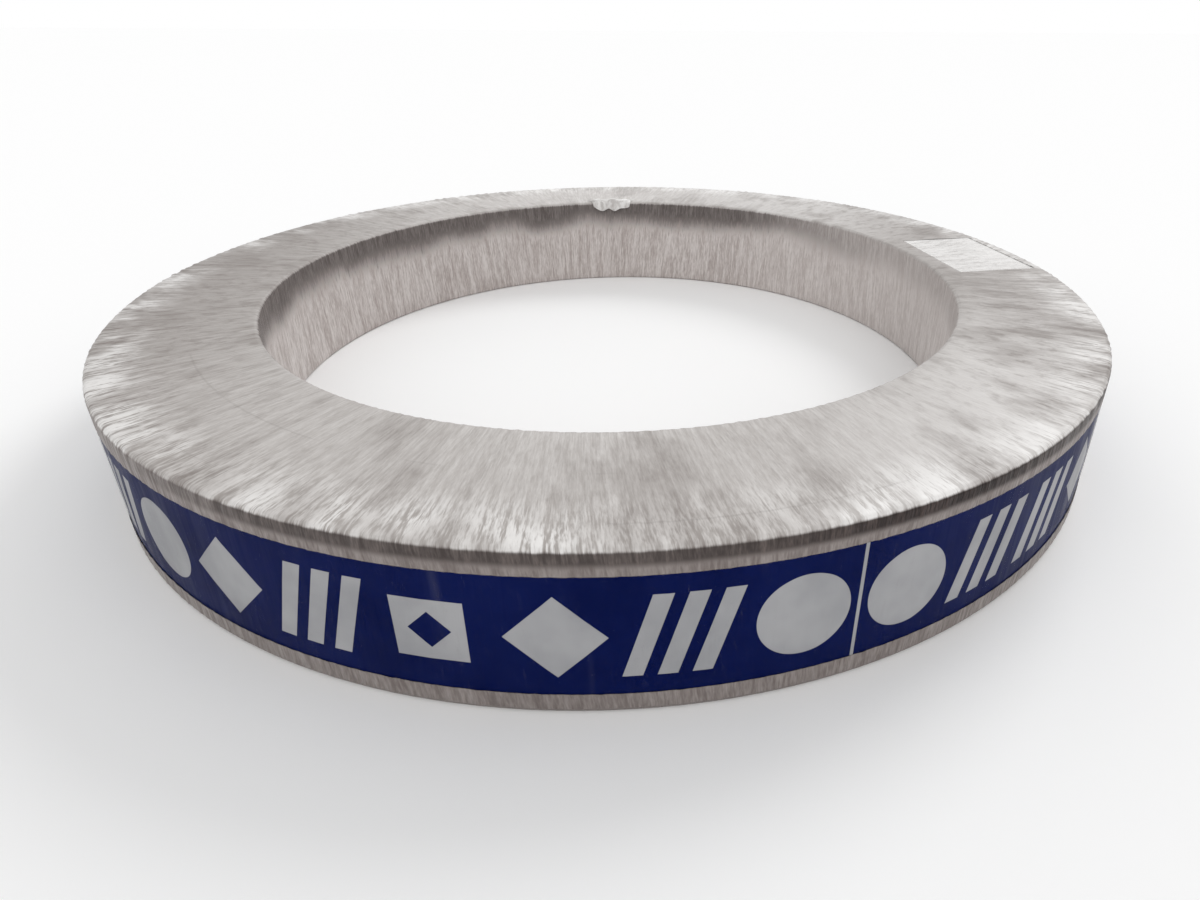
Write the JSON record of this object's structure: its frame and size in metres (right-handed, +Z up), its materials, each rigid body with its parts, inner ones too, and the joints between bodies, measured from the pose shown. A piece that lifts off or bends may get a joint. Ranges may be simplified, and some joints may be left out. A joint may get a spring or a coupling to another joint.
{
  "type": "coil of steel strapping",
  "caption": "Flat-lying ring of wound steel strap with an open bore, a printed tape round the wall and a paper label, all wrapped in clear stretch film.",
  "frame": {"origin": "centre of the base, where the wrap rests on the floor", "axes": "+Z up along the axis of the bore; +X towards the paper label"},
  "size_m": [0.55, 0.55, 0.0688],
  "materials": {
    "strap_steel": "dull rolled steel strap with darker turn edges",
    "band_tape": "deep blue printed tape with pale grey print",
    "label_paper": "plain white paper",
    "clear_film": "many layers of wrinkled stretch film, silvery and nearly opaque"
  },
  "bodies": {
    "root": {"strap_coil": "strap_steel", "label_band": "band_tape", "paper_label": "label_paper", "stretch_film": "clear_film"}
  },
  "joints": []
}
